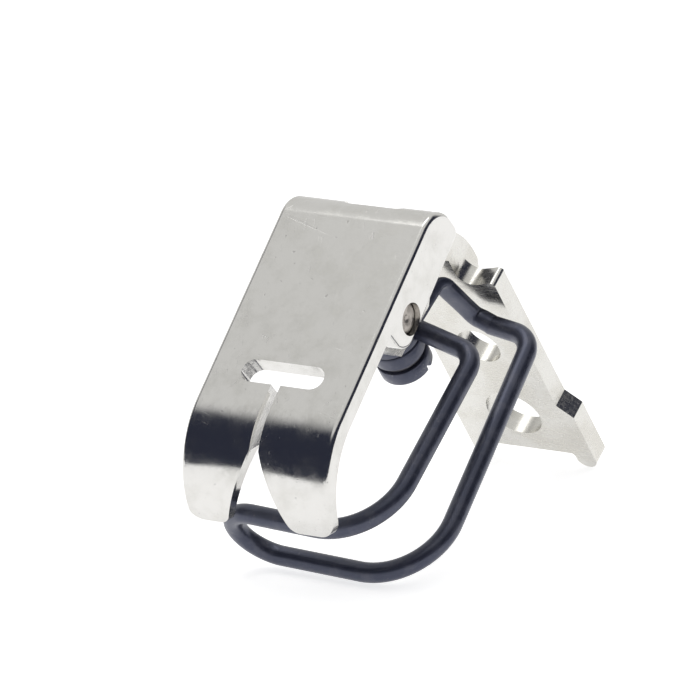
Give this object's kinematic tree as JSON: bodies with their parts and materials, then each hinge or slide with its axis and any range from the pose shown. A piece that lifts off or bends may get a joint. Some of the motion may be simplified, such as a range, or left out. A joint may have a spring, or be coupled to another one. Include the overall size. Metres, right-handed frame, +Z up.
{
  "type": "sewing machine presser foot",
  "caption": "Hinged zig-zag presser foot: flat sole with two curled toes and a needle slot, plate shank with a screw hole, and a bent wire finger guard.",
  "frame": {"origin": "centre of the bounding box's base, on the surface that the foot lies on upside down", "axes": "+X towards the left of someone who faces the upturned foot from its toes, +Y from the toes to the head of the shank, +Z up, with the sole's underside facing up"},
  "size_m": [0.0196, 0.0474, 0.0308],
  "materials": {
    "nickel_shank": "satin nickel plate",
    "polished_sole": "polished nickel plate",
    "steel_pin": "turned steel",
    "spring_steel": "oiled spring steel",
    "blued_wire": "black oxide",
    "blued_screw": "black oxide"
  },
  "bodies": {
    "shank": {"shank": "nickel_shank", "guard_screw": "blued_screw", "lock_washer": "spring_steel", "sole_spring": "spring_steel"},
    "sole": {"sole_plate": "polished_sole", "hinge_pin": "steel_pin"},
    "guard": {"finger_guard": "blued_wire"}
  },
  "joints": [
    {"name": "sole_pitch", "type": "hinge", "parent": "shank", "child": "sole", "pos_m": [-0.00187, -0.00931, 0.02265], "axis": [-1, 0, 0], "range_deg": [0, 17], "stiffness_Nm_per_rad": 0.012, "springref_deg": -11.46, "deforming": ["sole_spring"]},
    {"name": "guard_swing", "type": "hinge", "parent": "shank", "child": "guard", "pos_m": [-0.00187, -0.00084, 0.01777], "axis": [0, 0.5631, -0.8264], "range_deg": [0, 40]}
  ]
}
